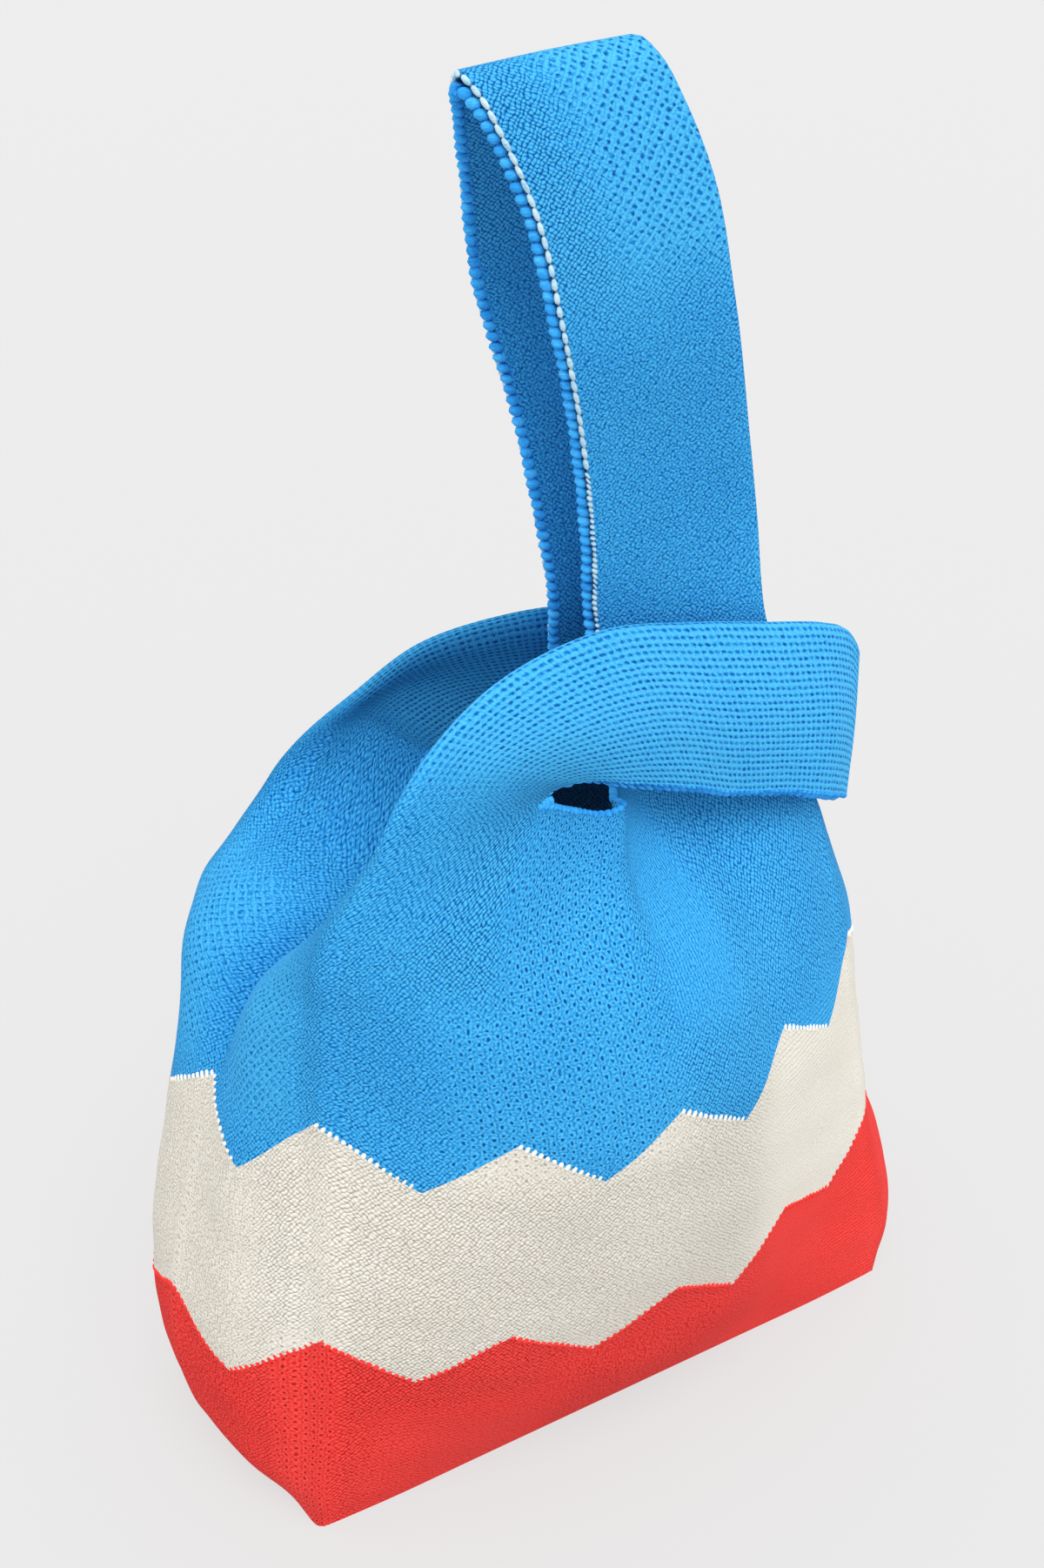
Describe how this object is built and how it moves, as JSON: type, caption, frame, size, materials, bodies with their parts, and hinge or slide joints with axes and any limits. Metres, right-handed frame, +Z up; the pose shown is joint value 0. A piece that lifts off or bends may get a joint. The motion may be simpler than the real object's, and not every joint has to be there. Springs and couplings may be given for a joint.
{
  "type": "knotted knit hand bag",
  "caption": "Soft knitted hand bag with zigzag colour bands, side gussets on a flat base, and a long loop handle passed through a short one.",
  "frame": {"origin": "centre of the flat base's underside", "axes": "+X along the bag towards the short handle's seam, +Y from the front to the back, +Z up to the long handle's top"},
  "size_m": [0.283, 0.1862, 0.4711],
  "materials": {
    "blue_knit": "matt knit",
    "cream_knit": "matt knit",
    "red_knit": "matt knit",
    "pale_blue_knit": "matt knit"
  },
  "bodies": {
    "bag": {"base_panel": "red_knit", "front_red": "red_knit", "back_red": "red_knit", "left_gusset_red": "red_knit", "right_gusset_red": "red_knit", "front_cream": "cream_knit", "back_cream": "cream_knit", "left_gusset_cream": "cream_knit", "right_gusset_cream": "cream_knit", "front_blue": "blue_knit", "back_blue": "blue_knit", "left_gusset_blue": "blue_knit", "right_gusset_blue": "blue_knit", "front_neckline_binding": "pale_blue_knit", "back_neckline_binding": "pale_blue_knit"},
    "short_loop": {"short_handle_front_outer": "blue_knit", "short_handle_front_facing": "blue_knit", "short_handle_front_binding": "pale_blue_knit", "short_handle_back_outer": "blue_knit", "short_handle_back_facing": "blue_knit", "short_handle_back_binding": "pale_blue_knit", "short_handle_end_seam": "blue_knit"},
    "long_loop": {"long_handle_front_outer": "blue_knit", "long_handle_front_facing": "blue_knit", "long_handle_front_binding": "pale_blue_knit", "long_handle_back_outer": "blue_knit", "long_handle_back_facing": "blue_knit", "long_handle_back_binding": "pale_blue_knit"}
  },
  "joints": [
    {"name": "short_handle_slide", "type": "slide", "parent": "bag", "child": "short_loop", "axis": [0, 0, 1], "range_m": [0, 0.012]},
    {"name": "long_handle_swing", "type": "hinge", "parent": "bag", "child": "long_loop", "pos_m": [0.03, 0, 0.325], "axis": [1, 0, 0], "range_deg": [-40, 40]}
  ]
}
